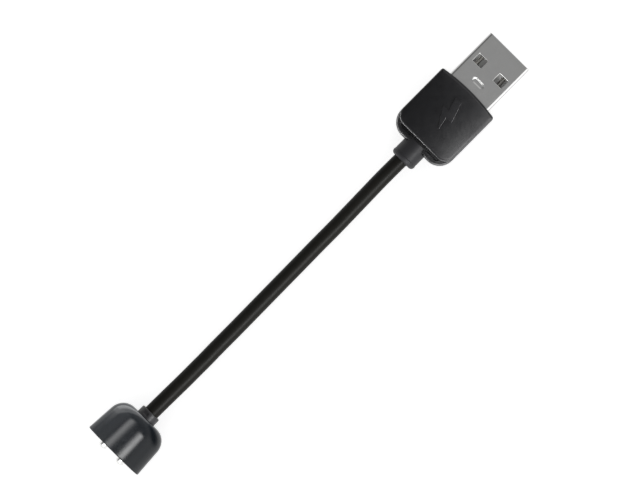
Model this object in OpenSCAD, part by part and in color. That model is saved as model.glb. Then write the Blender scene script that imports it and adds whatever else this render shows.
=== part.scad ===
// Short magnetic charging cable for a fitness band: a USB-A plug, a round two-wire cable and a
// domed dock with two sprung pins.
// +X runs from the dock to the tip of the plug, +Y is across, +Z is up. The cable lies on Z = 0.

/* [Dock] */
// Width of the dock at its pin face
dock_width = 15.3; // [14.7:0.2:15.9]
// Width of the dock where its rear shoulders start
dock_shoulder_width = 14.4; // [14.1:0.1:14.7]
// Distance from the pin face to the dock's rear face
dock_depth = 10.4; // [10.2:0.1:12]
// Wall thickness of the dock's shell
dock_wall = 0.9; // [0.8:0.1:0.9]
// Diameter of the collar where the cable leaves the dock
collar_d = 4.9; // [4.6:0.1:5]
// Length of that collar
collar_length = 1.8; // [1.7:0.05:2.4]

/* [Pins] */
// Distance between the centres of the two sprung pins
pin_spacing = 5.2; // [5.1:0.1:5.3]
// Diameter of a pin where it stands out of the face
pin_d = 2; // [1.8:0.1:2]
// How far a pin stands out when nothing presses it
pin_out = 1.3; // [1.1:0.1:1.5]
// How far a pin can be pressed in
pin_travel = 1; // [0.8:0.1:1]

/* [Cable] */
// Outer diameter of the cable
cable_d = 3.6; // [3.4:0.1:3.6]
// Outer diameter of one wire's insulation
wire_d = 1; // [0.8:0.1:1]
// Diameter of one wire's copper core
core_d = 0.5; // [0.4:0.1:0.5]

/* [Plug grip] */
// Width of the grip
grip_width = 16; // [15.6:0.2:17]
// Length of the grip from its rear wall to the middle of its bowed front
grip_length = 17.8; // [17:0.1:19]
// Radius of the grip's two rear corners, seen from above
grip_corner_r = 3.9; // [3.4:0.1:4.2]
// How far the middle of the front stands ahead of its two ends
grip_bow = 0.65; // [0.4:0.05:0.8]
// Wall thickness of the grip's two covers
grip_wall = 1.2; // [1.1:0.1:1.2]
// How far the raised top panel starts ahead of the rear wall
panel_setback = 2.05; // [0.8:0.05:2.2]
// Diameter of the cable sleeve behind the grip
sleeve_d = 6.1; // [5.9:0.1:6.4]
// Length of that sleeve
sleeve_length = 4.1; // [3.9:0.1:5]

/* [USB shell] */
// How far the metal shell stands out of the grip
shell_exposed = 12.6; // [12:0.1:13]

/* [Hidden] */
$fn = 48;

// The cable's route. It leaves the dock straight, eases down to lie on the surface, runs along it
// and rises again to the plug.
ROUTE = [
    [-54.4, 0, 4], [-50.2, 0, 4], [-46.8, -0.05, 3.95], [-43.4, -0.1, 3.65], [-40, -0.15, 3.1],
    [-36.6, -0.15, 2.5], [-33.2, -0.15, 2.05], [-29.8, -0.1, 1.86], [-24, -0.1, 1.82],
    [-17, -0.05, 1.82], [-10, 0, 1.82], [-3, 0.05, 1.82], [3, 0.1, 1.82], [8.6, 0.1, 1.86],
    [12, 0.15, 2.05], [15.4, 0.2, 2.5], [18.8, 0.25, 3.1], [22.2, 0.3, 3.65], [25.6, 0.3, 3.95],
    [29.2, 0.25, 4], [32.4, 0.15, 4], [35.4, 0, 4], [38.9, 0, 4]
];
DOCK_EXIT = 1;
PLUG_EXIT = 19;

// Places along X, worked out from the two points where the cable leaves its strain reliefs
axis_z = ROUTE[0][2];
body_height = 2 * axis_z;
dock_rear_x = ROUTE[DOCK_EXIT][0] - collar_length;
dock_face_x = dock_rear_x - dock_depth;
grip_rear_x = ROUTE[PLUG_EXIT][0] + sleeve_length;
grip_front_x = grip_rear_x + grip_length;
shell_tip_x = grip_front_x + shell_exposed;

// How far joined solids run into each other, and how far a cut runs past a face
lap = 0.1;
past = 1;

// Dock
face_plate_t = 2;
dock_shoulder_r = 3.9;
dock_taper_end_x = dock_rear_x - dock_shoulder_r;
dock_shoulder_height = 7.7;
dock_rear_width = 7.1;
dock_rear_height = 5.6;
dock_roundness = 2.3;
dock_ring_points = 32;
dock_ring_steps = 5;
plate_gap = 0.1;
collar_flange = [1, 6, 3.8];
collar_slot_w = 1.6;
collar_slot_y = 0.9;
collar_slot_l = 0.7;
collar_slot_depth = 0.35;
collar_neck_d = cable_d + 0.6;

// Sprung pins. Each barrel is a closed tube with a lip that keeps the plunger's collar in.
run_fit = 0.03;
barrel_d = 2.9;
barrel_bore_d = 2.4;
barrel_lip_t = 0.5;
barrel_back_t = 0.4;
barrel_flange_d = 3.2;
barrel_flange_t = 0.4;
barrel_tail_d = 0.7;
barrel_tail_l = 1.3;
collar_play = 0.02;
plunger_collar_l = 1;
shank_relief = 0.02;
tip_dome_r = 1.2;
plunger_x = dock_face_x + barrel_lip_t + collar_play;
pressed_spring_l = 1.58;
barrel_length = barrel_lip_t + collar_play + plunger_collar_l + pin_travel + pressed_spring_l
    + barrel_back_t;
spring_wire_d = 0.2;
spring_d = 1.7;
spring_turns = 6.5;
spring_steps = 10;
spring_sides = 5;
spring_gap = 0.01;

// Inside the dock
magnet_size = [2.2, 1.2, 2.8];
magnet_y = 4.9;
board_t = 0.8;
board_w = 9.2;
board_h = 3.8;
board_x = dock_face_x + barrel_length;
solder_t = 0.6;
solder_d = 2.4;
joint_lift = 0.7;

// Wires
cord_sides = 8;
wire_sides = 6;
jacket_bore_d = 2.4;
wire_offset = 0.55;
core_clearance = 0.04;

// Plug
parting_groove = 0.15;
panel_t = 0.7;
recess_t = 0.3;
recess_depth = 0.35;
foot_t = 0.5;
front_wall = 1.4;
panel_corner_r = 2.6;
bow_r = (pow(grip_width / 2, 2) + pow(grip_bow, 2)) / (2 * grip_bow);
cavity_z = [grip_wall, body_height - grip_wall];
sleeve_lip_d = sleeve_d + 0.4;
sleeve_lip_l = 1.1;
sleeve_bore_d = 4.3;
neck_d = 5.4;
flange_size = [1, 8, 5.4];
flange_bore_d = cable_d + 0.4;
fit_gap = 0.02;
post_d = 1.4;
post_boss_d = 2.4;
post_y = 5.45;
post_top_z = 5.6;
post_gap = 0.05;
post_places = [grip_rear_x + 3.6, grip_front_x - 7.6];

// USB-A plug, to the standard's sizes
shell_w = 12;
shell_h = 4.5;
shell_r = 0.75;
shell_t = 0.3;
shell_rear_x = grip_front_x - 6.1;
window_w = 2.5;
window_l = 2.2;
window_y = 3.2;
window_from_tip = 5.16;
emboss_w = 3.3;
emboss_l = 1.4;
emboss_depth = 0.12;
emboss_from_tip = 10.1;
seam_w = 0.06;
tongue_from_tip = 0.7;
tongue_top_z = axis_z;
block_length = 6.2;
block_x = shell_rear_x + 0.3;
contact_w = 1;
contact_t = 0.3;
contact_proud = 0.04;
data_y = 1;
power_y = 3.5;
power_from_tip = 1.4;
data_from_tip = 2.4;
contact_tail_l = 1.8;
contact_tail_x = block_x - contact_tail_l;
contact_top_z = tongue_top_z + contact_proud;
joint_z = contact_top_z + core_d / 2 + 0.01;
plug_joint_d = 1.4;
plug_joint_l = 1.4;
core_joint_l = 1.3;

// Crimped tray behind the USB shell
clamp_t = 0.3;
clamp_half_w = 3.9;
clamp_wall_h = 1.4;
clamp_ear_x = 36.3;
clamp_ear_l = 2;
clamp_foot_w = 2;
tray_x = clamp_ear_x - 0.2;

// ---------- Helpers ----------

function unit(v) = v / norm(v);
function reversed(list) = [for (i = [len(list) - 1 : -1 : 0]) list[i]];

// Direction of a path at point i, from its neighbours
function heading(path, i) = unit(path[min(i + 1, len(path) - 1)] - path[max(i - 1, 0)]);

// A regular polygon round point c, square to direction d, as a ring of points
function round_ring(c, d, r, sides) =
    let (across = unit(cross([0, 0, 1], d)), up = cross(d, across))
    [for (k = [0 : sides - 1]) let (a = 360 * (k + 0.5) / sides)
        c + r * (cos(a) * across + sin(a) * up)];

function path_rings(path, r, sides) =
    [for (i = [0 : len(path) - 1]) round_ring(path[i], heading(path, i), r, sides)];

// A rounded section across X: an ellipse with fuller corners
function section_ring(x, width, height) =
    [for (k = [0 : dock_ring_points - 1])
        let (a = 360 * k / dock_ring_points, c = cos(a), s = sin(a), e = 2 / dock_roundness)
        [x, sign(c) * pow(abs(c), e) * width / 2, axis_z + sign(s) * pow(abs(s), e) * height / 2]];

// A solid skinned over rings of equal length. A closed one joins its last ring to its first, and
// an open one has a flat cap on each end.
module skin(rings, closed = false) {
    count = len(rings);
    n = len(rings[0]);
    last = closed ? count - 1 : count - 2;
    sides = [for (i = [0 : last], j = [0 : n - 1])
        let (a = i * n, b = ((i + 1) % count) * n, k = (j + 1) % n)
        each [[a + j, b + j, b + k], [a + j, b + k, a + k]]];
    caps = closed ? [] : [[for (j = [0 : n - 1]) j], [for (j = [n - 1 : -1 : 0]) (count - 1) * n + j]];
    polyhedron(points = [for (ring = rings) each ring], faces = concat(sides, caps), convexity = 8);
}

module rod(path, r, sides) {
    skin(path_rings(path, r, sides));
}

module tube(path, r_out, r_in, sides) {
    skin(concat(path_rings(path, r_out, sides), reversed(path_rings(path, r_in, sides))), closed = true);
}

// A cylinder along X from x0 to x1
module bar(x0, x1, d, y = 0, z = axis_z) {
    translate([x0, y, z]) rotate([0, 90, 0]) cylinder(h = x1 - x0, d = d);
}

// A box along X, centred on y and between two heights
module slab(x0, x1, y, width, z0, z1) {
    translate([x0, y - width / 2, z0]) cube([x1 - x0, width, z1 - z0]);
}

// A rectangle with round corners, centred, of exact arcs
module rounded_rect(width, height, r) {
    square([width - 2 * r, height], center = true);
    square([width, height - 2 * r], center = true);
    for (sx = [-1, 1], sy = [-1, 1])
        translate([sx * (width / 2 - r), sy * (height / 2 - r)]) circle(r);
}

// A rounded rectangle extruded along X round the plug's axis
module rounded_bar(x0, x1, width, height, r) {
    translate([x0, 0, axis_z]) rotate([90, 0, 90]) linear_extrude(x1 - x0) rounded_rect(width, height, r);
}

// ---------- Dock ----------

// Place, width and height of each section of the dock's outside, from its rear face to its pin face
function dock_outside() = concat(
    [for (i = [0 : dock_ring_steps - 1]) let (a = 90 * (1 - i / dock_ring_steps))
        [dock_taper_end_x + dock_shoulder_r * sin(a),
         dock_shoulder_width - (dock_shoulder_width - dock_rear_width) * (1 - cos(a)),
         dock_shoulder_height - (dock_shoulder_height - dock_rear_height) * (1 - cos(a))]],
    [[dock_taper_end_x, dock_shoulder_width, dock_shoulder_height],
     [dock_face_x, dock_width, body_height]]);

// The same for its inside, which is straight from the shoulders to the face plate
function dock_inside() = [for (s = dock_outside())
    [min(s[0], dock_rear_x - dock_wall), min(s[1], dock_shoulder_width) - 2 * dock_wall,
     min(s[2], dock_shoulder_height) - 2 * dock_wall]];

module dock_housing() {
    inside = dock_inside();
    outer = [for (s = dock_outside()) section_ring(s[0], s[1], s[2])];
    inner = [for (i = [len(inside) - 1 : -1 : 2]) section_ring(inside[i][0], inside[i][1], inside[i][2])];
    color("#35373a") difference() {
        skin(concat(outer, inner));
        bar(dock_rear_x - dock_wall - past, dock_rear_x + past, collar_neck_d);
    }
}

module dock_face_plate() {
    width = dock_shoulder_width - 2 * dock_wall - plate_gap;
    height = dock_shoulder_height - 2 * dock_wall - plate_gap;
    outline = [for (p = section_ring(0, width, height)) [p[1], p[2]]];
    color("#1d1d1f") difference() {
        translate([dock_face_x, 0, 0]) rotate([90, 0, 90]) linear_extrude(face_plate_t) polygon(outline);
        for (side = [-1, 1])
            bar(dock_face_x - past, dock_face_x + face_plate_t + past, barrel_d, side * pin_spacing / 2);
    }
}

module pin_barrel(side) {
    y = side * pin_spacing / 2;
    rear = dock_face_x + barrel_length;
    color("#c9a14a") difference() {
        union() {
            bar(dock_face_x, rear, barrel_d, y);
            bar(dock_face_x + face_plate_t, dock_face_x + face_plate_t + barrel_flange_t, barrel_flange_d, y);
            bar(rear - lap, rear + barrel_tail_l, barrel_tail_d, y);
        }
        bar(dock_face_x - past, dock_face_x + past, pin_d + 2 * run_fit, y);
        bar(dock_face_x + barrel_lip_t, rear - barrel_back_t, barrel_bore_d, y);
    }
}

// Half the outline of a plunger, from its domed tip back: the tip that stands out of the face, a
// slightly thinner shank in the barrel's lip, and the collar behind it, which runs in the barrel
module plunger_outline() {
    collar_start = plunger_x - dock_face_x + pin_out;
    intersection() {
        square([pin_d / 2, pin_out]);
        union() {
            translate([0, tip_dome_r]) circle(tip_dome_r);
            translate([0, tip_dome_r]) square([pin_d / 2, pin_out]);
        }
    }
    translate([0, pin_out]) square([pin_d / 2 - shank_relief, collar_start - pin_out + lap]);
    translate([0, collar_start]) square([barrel_bore_d / 2 - run_fit, plunger_collar_l]);
}

module pin_plunger(side) {
    color("#d9d9d6") translate([dock_face_x - pin_out, side * pin_spacing / 2, axis_z])
        rotate([0, 90, 0]) rotate_extrude() plunger_outline();
}

module pin_spring(side) {
    x0 = plunger_x + plunger_collar_l + spring_wire_d / 2 + spring_gap;
    x1 = dock_face_x + barrel_length - barrel_back_t - spring_wire_d / 2 - spring_gap;
    count = spring_turns * spring_steps;
    r = spring_d / 2;
    coil = [for (i = [0 : count]) let (a = 360 * i / spring_steps)
        [x0 + (x1 - x0) * i / count, side * pin_spacing / 2 + r * cos(a), axis_z + r * sin(a)]];
    rings = [for (i = [0 : count]) let (a = 360 * i / spring_steps)
        [for (k = [0 : spring_sides - 1]) let (b = 360 * k / spring_sides)
            coil[i] + spring_wire_d / 2 * (cos(b) * [1, 0, 0] + sin(b) * [0, cos(a), sin(a)])]];
    color("#b8bcc0") skin(rings);
}

module magnet(side) {
    x = dock_face_x + face_plate_t;
    color("#a9adb2")
        slab(x, x + magnet_size[0], side * magnet_y, magnet_size[1],
            axis_z - magnet_size[2] / 2, axis_z + magnet_size[2] / 2);
}

module contact_board() {
    color("#2f6b3c") difference() {
        slab(board_x, board_x + board_t, 0, board_w, axis_z - board_h / 2, axis_z + board_h / 2);
        for (side = [-1, 1])
            bar(board_x - past, board_x + board_t + past, barrel_tail_d + 2 * fit_gap,
                side * pin_spacing / 2);
    }
}

module dock_solder() {
    x = board_x + board_t;
    color("#c4c6c8") for (side = [-1, 1])
        difference() {
            bar(x, x + solder_t, solder_d, side * pin_spacing / 2);
            bar(x - past, x + solder_t + past, barrel_tail_d, side * pin_spacing / 2);
            bar(x - past, x + solder_t + past, core_d, side * pin_spacing / 2, axis_z + joint_lift);
        }
}

// The collar has a shallow slot on one side of its top and one on the other side of its underside,
// so that it can flex
module dock_strain_relief() {
    slot_x = dock_rear_x + (collar_length - collar_slot_l) / 2;
    inner_x = dock_rear_x - dock_wall;
    color("#2c2d30") difference() {
        union() {
            bar(dock_rear_x, dock_rear_x + collar_length, collar_d);
            bar(inner_x - lap, dock_rear_x + lap, collar_neck_d - 2 * fit_gap);
            slab(inner_x - collar_flange[0], inner_x, 0, collar_flange[1],
                axis_z - collar_flange[2] / 2, axis_z + collar_flange[2] / 2);
        }
        bar(inner_x - collar_flange[0] - past, dock_rear_x + collar_length + past, cable_d);
        slab(slot_x, slot_x + collar_slot_l, collar_slot_y, collar_slot_w,
            axis_z + collar_d / 2 - collar_slot_depth, axis_z + collar_d);
        slab(slot_x, slot_x + collar_slot_l, -collar_slot_y, collar_slot_w,
            axis_z - collar_d, axis_z - collar_d / 2 + collar_slot_depth);
    }
}

// ---------- Cable ----------

// The wire's route inside the dock, beside the cable's own route, and inside the plug
function wire_dock_end(y, z) = [
    [board_x + board_t + solder_t + 0.1, y, z], [board_x + board_t + solder_t + 0.6, y * 0.9, z - 0.15],
    [ROUTE[0][0] - 0.7, y * 0.5, (z + axis_z) / 2]
];
function wire_middle() = [for (p = ROUTE) [p[0], p[1] + wire_offset, p[2]]];
function wire_plug_end(y, z) = [
    [ROUTE[len(ROUTE) - 1][0] + 1.3, y * 0.3, axis_z + 0.05],
    [ROUTE[len(ROUTE) - 1][0] + 2.5, y * 0.7, axis_z + 0.2], [contact_tail_x - 0.8, y * 0.95, z],
    [contact_tail_x - 0.2, y, z]
];
function wire_path() = concat(wire_dock_end(pin_spacing / 2, axis_z + joint_lift), wire_middle(),
    wire_plug_end(power_y, joint_z));
function core_path() = concat([[board_x + board_t + 0.02, pin_spacing / 2, axis_z + joint_lift]],
    wire_path(), [[contact_tail_x + 0.2 + core_joint_l, power_y, joint_z]]);

// The negative wire is the positive one mirrored, but beside the same route
function beside(path, side) = [for (p = path)
    let (on_route = p[0] >= ROUTE[0][0] && p[0] <= ROUTE[len(ROUTE) - 1][0])
    side > 0 ? p : on_route ? [p[0], p[1] - 2 * wire_offset, p[2]] : [p[0], -p[1], p[2]]];

module cable_jacket() {
    color("#1e1e1b") tube(ROUTE, cable_d / 2, jacket_bore_d / 2, cord_sides);
}

module wire(side, paint) {
    color(paint) tube(beside(wire_path(), side), wire_d / 2, (core_d + core_clearance) / 2, wire_sides);
}

module conductor(side) {
    color("#b87333") rod(beside(core_path(), side), core_d / 2, wire_sides);
}

// ---------- Plug ----------

// The grip's outline from above, set in on every side
module grip_outline(rear_x, corner_r, inset) {
    half = grip_width / 2 - inset;
    x0 = rear_x + inset;
    x1 = grip_front_x - inset;
    r = corner_r - inset;
    intersection() {
        union() {
            translate([x0 + r, -half]) square([x1 - x0 - r, 2 * half]);
            translate([x0, r - half]) square([2 * r, 2 * (half - r)]);
            for (side = [-1, 1]) translate([x0 + r, side * (half - r)]) circle(r);
        }
        translate([x1 - bow_r, 0]) circle(bow_r, $fn = 180);
    }
}

module grip_layer(z0, z1, inset = 0, rear_x = grip_rear_x, corner_r = grip_corner_r) {
    translate([0, 0, z0]) linear_extrude(z1 - z0) grip_outline(rear_x, corner_r, inset);
}

// The room inside the two covers, with the openings for the shell and the sleeve's neck
module grip_cavity() {
    cavity_l = grip_length - grip_wall - front_wall;
    translate([grip_rear_x + grip_wall, 0, cavity_z[0]])
        linear_extrude(cavity_z[1] - cavity_z[0])
            translate([cavity_l / 2, 0]) rounded_rect(cavity_l, grip_width - 2 * grip_wall, 2.4);
    rounded_bar(shell_rear_x, shell_tip_x, shell_w + 2 * fit_gap, shell_h + 2 * fit_gap, shell_r + fit_gap);
    bar(grip_rear_x - past, grip_rear_x + grip_wall + past, neck_d + 2 * fit_gap);
}

module plug_cover_lower() {
    color("#242426") {
        difference() {
            union() {
                grip_layer(0, foot_t, foot_t);
                grip_layer(foot_t, axis_z - parting_groove);
                grip_layer(axis_z - parting_groove, axis_z, parting_groove);
            }
            grip_cavity();
        }
        for (x = post_places, side = [-1, 1]) {
            translate([x, side * post_y, cavity_z[0] - lap])
                cylinder(d = post_boss_d, h = axis_z - cavity_z[0] + lap);
            translate([x, side * post_y, cavity_z[0]]) cylinder(d = post_d, h = post_top_z - cavity_z[0]);
        }
    }
}

module plug_cover_upper() {
    panel_z = body_height - panel_t;
    color("#2b2b2d") difference() {
        union() {
            difference() {
                union() {
                    grip_layer(axis_z, axis_z + parting_groove, parting_groove);
                    grip_layer(axis_z + parting_groove, panel_z - recess_t);
                    grip_layer(panel_z - recess_t, panel_z, recess_depth);
                    grip_layer(panel_z, body_height, 0, grip_rear_x + panel_setback, panel_corner_r);
                }
                grip_cavity();
            }
            for (x = post_places, side = [-1, 1])
                translate([x, side * post_y, axis_z])
                    cylinder(d = post_boss_d, h = cavity_z[1] - axis_z + lap);
        }
        for (x = post_places, side = [-1, 1])
            translate([x, side * post_y, axis_z - past])
                cylinder(d = post_d + 2 * post_gap, h = post_top_z - axis_z + past + post_gap);
    }
}

module plug_strain_relief() {
    x0 = ROUTE[PLUG_EXIT][0];
    inner_x = grip_rear_x + grip_wall;
    color("#303033") difference() {
        union() {
            bar(x0, x0 + sleeve_lip_l, sleeve_lip_d);
            bar(x0, grip_rear_x, sleeve_d);
            bar(x0, inner_x + lap, neck_d);
            slab(inner_x, inner_x + flange_size[0], 0, flange_size[1],
                axis_z - flange_size[2] / 2, axis_z + flange_size[2] / 2);
        }
        bar(x0 - past, inner_x, sleeve_bore_d);
        bar(inner_x - past, inner_x + flange_size[0] + past, flange_bore_d);
    }
}

// Two windows through the shell's top or underside
module shell_windows(z0, z1) {
    for (side = [-1, 1])
        slab(shell_tip_x - window_from_tip - window_l, shell_tip_x - window_from_tip,
            side * window_y, window_w, z0, z1);
}

module usb_shell() {
    emboss_x = shell_tip_x - emboss_from_tip;
    emboss_z = axis_z + shell_h / 2 - emboss_depth;
    color("#b9babc") difference() {
        rounded_bar(shell_rear_x, shell_tip_x, shell_w, shell_h, shell_r);
        rounded_bar(shell_rear_x - past, shell_tip_x + past, shell_w - 2 * shell_t, shell_h - 2 * shell_t,
            shell_r - shell_t);
        shell_windows(axis_z + shell_h / 2 - 2 * shell_t, axis_z + shell_h);
        shell_windows(axis_z - shell_h, axis_z - shell_h / 2 + 2 * shell_t);
        translate([emboss_x, 0, emboss_z]) {
            linear_extrude(past) square([emboss_l, emboss_w - emboss_l], center = true);
            for (side = [-1, 1])
                translate([0, side * (emboss_w - emboss_l) / 2, 0]) cylinder(d = emboss_l, h = past);
        }
        slab(shell_rear_x - past, shell_tip_x + past, 0, seam_w, 0, axis_z - shell_h / 2 + 2 * shell_t);
    }
}

module contact(y, from_tip) {
    color("#c8ccd0")
        slab(contact_tail_x, shell_tip_x - from_tip, y, contact_w, contact_top_z - contact_t, contact_top_z);
}

// A block across the whole shell with a tongue in its lower half
module usb_insulator() {
    inner_w = shell_w - 2 * shell_t - 2 * fit_gap;
    inner_h = shell_h - 2 * shell_t - 2 * fit_gap;
    inner_r = shell_r - shell_t - fit_gap;
    color("#26262a") difference() {
        union() {
            rounded_bar(block_x, block_x + block_length, inner_w, inner_h, inner_r);
            intersection() {
                rounded_bar(block_x, shell_tip_x - tongue_from_tip, inner_w, inner_h, inner_r);
                slab(block_x, shell_tip_x, 0, shell_w, 0, tongue_top_z);
            }
        }
        for (side = [-1, 1]) {
            contact(side * power_y, power_from_tip);
            contact(side * data_y, data_from_tip);
        }
    }
}

// A tray soldered to the rear of the shell, with a ring crimped round the jacket
module cable_clamp() {
    floor_z = axis_z - shell_h / 2;
    wall_x = clamp_ear_x + clamp_ear_l + 1.2;
    color("#9c9ea1") difference() {
        union() {
            slab(tray_x, shell_rear_x, 0, 2 * clamp_half_w, floor_z, floor_z + clamp_t);
            for (side = [-1, 1])
                slab(wall_x, shell_rear_x, side * (clamp_half_w - clamp_t / 2), clamp_t, floor_z,
                    floor_z + clamp_wall_h);
            bar(clamp_ear_x, clamp_ear_x + clamp_ear_l, cable_d + 2 * clamp_t);
            slab(clamp_ear_x, clamp_ear_x + clamp_ear_l, 0, clamp_foot_w, floor_z, axis_z);
        }
        bar(clamp_ear_x - past, clamp_ear_x + clamp_ear_l + past, cable_d);
    }
}

// A drop of solder over each wire's end on its contact
module plug_solder() {
    x0 = contact_tail_x + 0.2;
    color("#c4c6c8") for (side = [-1, 1])
        difference() {
            intersection() {
                bar(x0, x0 + plug_joint_l, plug_joint_d, side * power_y, contact_top_z);
                slab(x0, x0 + plug_joint_l, side * power_y, contact_w, contact_top_z, axis_z + plug_joint_d);
            }
            bar(x0 - past, x0 + core_joint_l, core_d, side * power_y, joint_z);
        }
}

// ---------- Assembly ----------

dock_housing();
dock_face_plate();
pin_barrel(1);  // pin_barrel_positive
pin_barrel(-1);  // pin_barrel_negative
pin_plunger(1);  // pin_plunger_positive
pin_plunger(-1);  // pin_plunger_negative
pin_spring(1);  // pin_spring_positive
pin_spring(-1);  // pin_spring_negative
magnet(1);  // magnet_left
magnet(-1);  // magnet_right
contact_board();
dock_solder();
dock_strain_relief();
cable_jacket();
wire(1, "#a8322c");  // wire_positive
wire(-1, "#1b1b1b");  // wire_negative
conductor(1);  // conductor_positive
conductor(-1);  // conductor_negative
plug_strain_relief();
plug_cover_lower();
plug_cover_upper();
usb_shell();
usb_insulator();
contact(power_y, power_from_tip);  // contact_vbus
contact(data_y, data_from_tip);  // contact_data_minus
contact(-data_y, data_from_tip);  // contact_data_plus
contact(-power_y, power_from_tip);  // contact_ground
cable_clamp();
plug_solder();
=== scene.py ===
"""The looks of a short magnetic charging cable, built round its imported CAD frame.

The frame runs along X from the dock's pins to the tip of the USB plug, with Y across and Z up, and
the cable lies on Z = 0. Lengths are in metres: a value times MM is a length in millimetres.
"""

import math

import bmesh
import bpy
from mathutils import Matrix, Vector


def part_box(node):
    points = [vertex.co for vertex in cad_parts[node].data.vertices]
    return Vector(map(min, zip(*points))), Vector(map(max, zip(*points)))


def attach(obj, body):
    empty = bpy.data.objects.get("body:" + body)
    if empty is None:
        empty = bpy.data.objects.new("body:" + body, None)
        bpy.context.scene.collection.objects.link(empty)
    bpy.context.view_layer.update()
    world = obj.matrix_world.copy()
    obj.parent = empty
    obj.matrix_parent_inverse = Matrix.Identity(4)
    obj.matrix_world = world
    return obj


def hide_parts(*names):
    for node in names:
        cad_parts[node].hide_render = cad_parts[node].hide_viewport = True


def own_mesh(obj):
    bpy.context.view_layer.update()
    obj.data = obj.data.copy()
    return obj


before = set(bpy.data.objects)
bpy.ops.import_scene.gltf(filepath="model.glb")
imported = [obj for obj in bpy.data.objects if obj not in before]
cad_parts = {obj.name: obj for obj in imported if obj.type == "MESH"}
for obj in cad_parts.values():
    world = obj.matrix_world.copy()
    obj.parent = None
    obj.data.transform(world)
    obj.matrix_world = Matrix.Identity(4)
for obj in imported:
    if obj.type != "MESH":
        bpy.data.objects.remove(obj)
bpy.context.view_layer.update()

MM = 0.001
ROOT = "cable_assembly"
SIDES = {"positive": 1, "negative": -1}


# ---------- Sizes, from the frame ----------

DOCK_LOW, DOCK_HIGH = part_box("dock_housing")
PLATE_LOW, PLATE_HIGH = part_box("dock_face_plate")
PIN_LOW, PIN_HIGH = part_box("pin_plunger_positive")
COLLAR_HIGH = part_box("dock_strain_relief")[1]
SLEEVE_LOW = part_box("plug_strain_relief")[0]
LOWER_LOW, LOWER_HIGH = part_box("plug_cover_lower")
UPPER_LOW, UPPER_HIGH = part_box("plug_cover_upper")
SHELL_LOW, SHELL_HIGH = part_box("usb_shell")
TONGUE_LOW, TONGUE_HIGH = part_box("usb_insulator")

AXIS_Z = (DOCK_LOW.z + DOCK_HIGH.z) / 2
PIN_Y = (PIN_LOW.y + PIN_HIGH.y) / 2
GRIP_REAR = LOWER_LOW.x
GRIP_FRONT = LOWER_HIGH.x
GRIP_HALF = LOWER_HIGH.y
GRIP_TOP = UPPER_HIGH.z
PARTING_Z = UPPER_LOW.z
TIP = SHELL_HIGH.x


# ---------- Other sizes ----------

# The cable's route, the same points as in the CAD source
ROUTE = [
    Vector(p) * MM
    for p in (
        (-54.4, 0, 4), (-50.2, 0, 4), (-46.8, -0.05, 3.95), (-43.4, -0.1, 3.65), (-40, -0.15, 3.1),
        (-36.6, -0.15, 2.5), (-33.2, -0.15, 2.05), (-29.8, -0.1, 1.86), (-24, -0.1, 1.82),
        (-17, -0.05, 1.82), (-10, 0, 1.82), (-3, 0.05, 1.82), (3, 0.1, 1.82), (8.6, 0.1, 1.86),
        (12, 0.15, 2.05), (15.4, 0.2, 2.5), (18.8, 0.25, 3.1), (22.2, 0.3, 3.65), (25.6, 0.3, 3.95),
        (29.2, 0.25, 4), (32.4, 0.15, 4), (35.4, 0, 4), (38.9, 0, 4),
    )
]
DOCK_EXIT = 1
PLUG_EXIT = 19
CABLE_D = 3.6 * MM
CABLE_TUCK = 1.3 * MM

# Dock. SHOULDER_SIZE and REAR_SIZE are its width and height where its shoulders start and end.
OVAL_POINTS = 96
OVAL_POWER = 2.3
DOCK_WALL = 0.9 * MM
SHOULDER_R = 3.9 * MM
SHOULDER_SIZE = (14.4 * MM, 7.7 * MM)
REAR_SIZE = (7.1 * MM, 5.6 * MM)
SHOULDER_STEPS = 16
FACE_EDGE_R = 0.22 * MM
COLLAR_NECK_D = CABLE_D + 0.6 * MM

# Pins
BARREL_D = 2.9 * MM
SPRING_TURNS = 6.5
SPRING_WIRE_R = 0.1 * MM

# Plug's grip, in two covers with a raised panel on top. BOW_R is the radius of its bowed front.
GRIP_CORNER_R = 3.9 * MM
GRIP_FRONT_R = 0.5 * MM
GRIP_BOW = 0.65 * MM
GRIP_EDGE = 0.6 * MM
GRIP_WALL = 1.2 * MM
BOW_R = (GRIP_HALF ** 2 + GRIP_BOW ** 2) / (2 * GRIP_BOW)
PARTING = 0.15 * MM
PANEL_T = 0.7 * MM
PANEL_SETBACK = 1.9 * MM
PANEL_CORNER_R = 2.6 * MM
CROWN = 0.1 * MM

# The ledge round the panel, and the groove in it in front of the panel's rear edge
RECESS_T = 0.3 * MM
RECESS_DEPTH = 0.35 * MM
REAR_DROP = 0.5 * MM
SIDE_EDGE_R = 0.3 * MM
REAR_EDGE_R = 0.85 * MM
GROOVE_W = 0.42 * MM
GROOVE_DEPTH = 0.3 * MM

# Sleeve behind the grip. It runs a little way over the ledge, and has a neck inside the grip.
SLEEVE_R = 3.05 * MM
SLEEVE_OVERLAP = 1.3 * MM
NECK_R = 2.1 * MM

# USB shell, to the standard's sizes
SHELL_CORNER_R = 0.75 * MM
SHELL_T = 0.3 * MM
WINDOW_FROM_TIP = 5.16 * MM
WINDOW_L = 2.2 * MM
WINDOW_W = 2.5 * MM
WINDOW_Y = 3.2 * MM
EMBOSS_FROM_TIP = 10.1 * MM
EMBOSS_SIZE = (1.4 * MM, 3.3 * MM)
EMBOSS_DEPTH = 0.2 * MM
EMBOSS_RAMP = 0.34 * MM
SEAM = 0.06 * MM
FINE = 0.1 * MM


# ---------- CAD nodes ----------

CONTACTS = ("contact_vbus", "contact_data_minus", "contact_data_plus", "contact_ground")

# The nodes that stay as they are, each with its material slot
KEPT = {
    "magnet_left": "magnet", "magnet_right": "magnet", "contact_board": "board",
    "dock_solder": "solder", "plug_solder": "solder", "wire_positive": "wire_red",
    "wire_negative": "wire_black", "conductor_positive": "copper", "conductor_negative": "copper",
    "cable_clamp": "clamp_steel",
}


# ---------- Camera ----------

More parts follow.
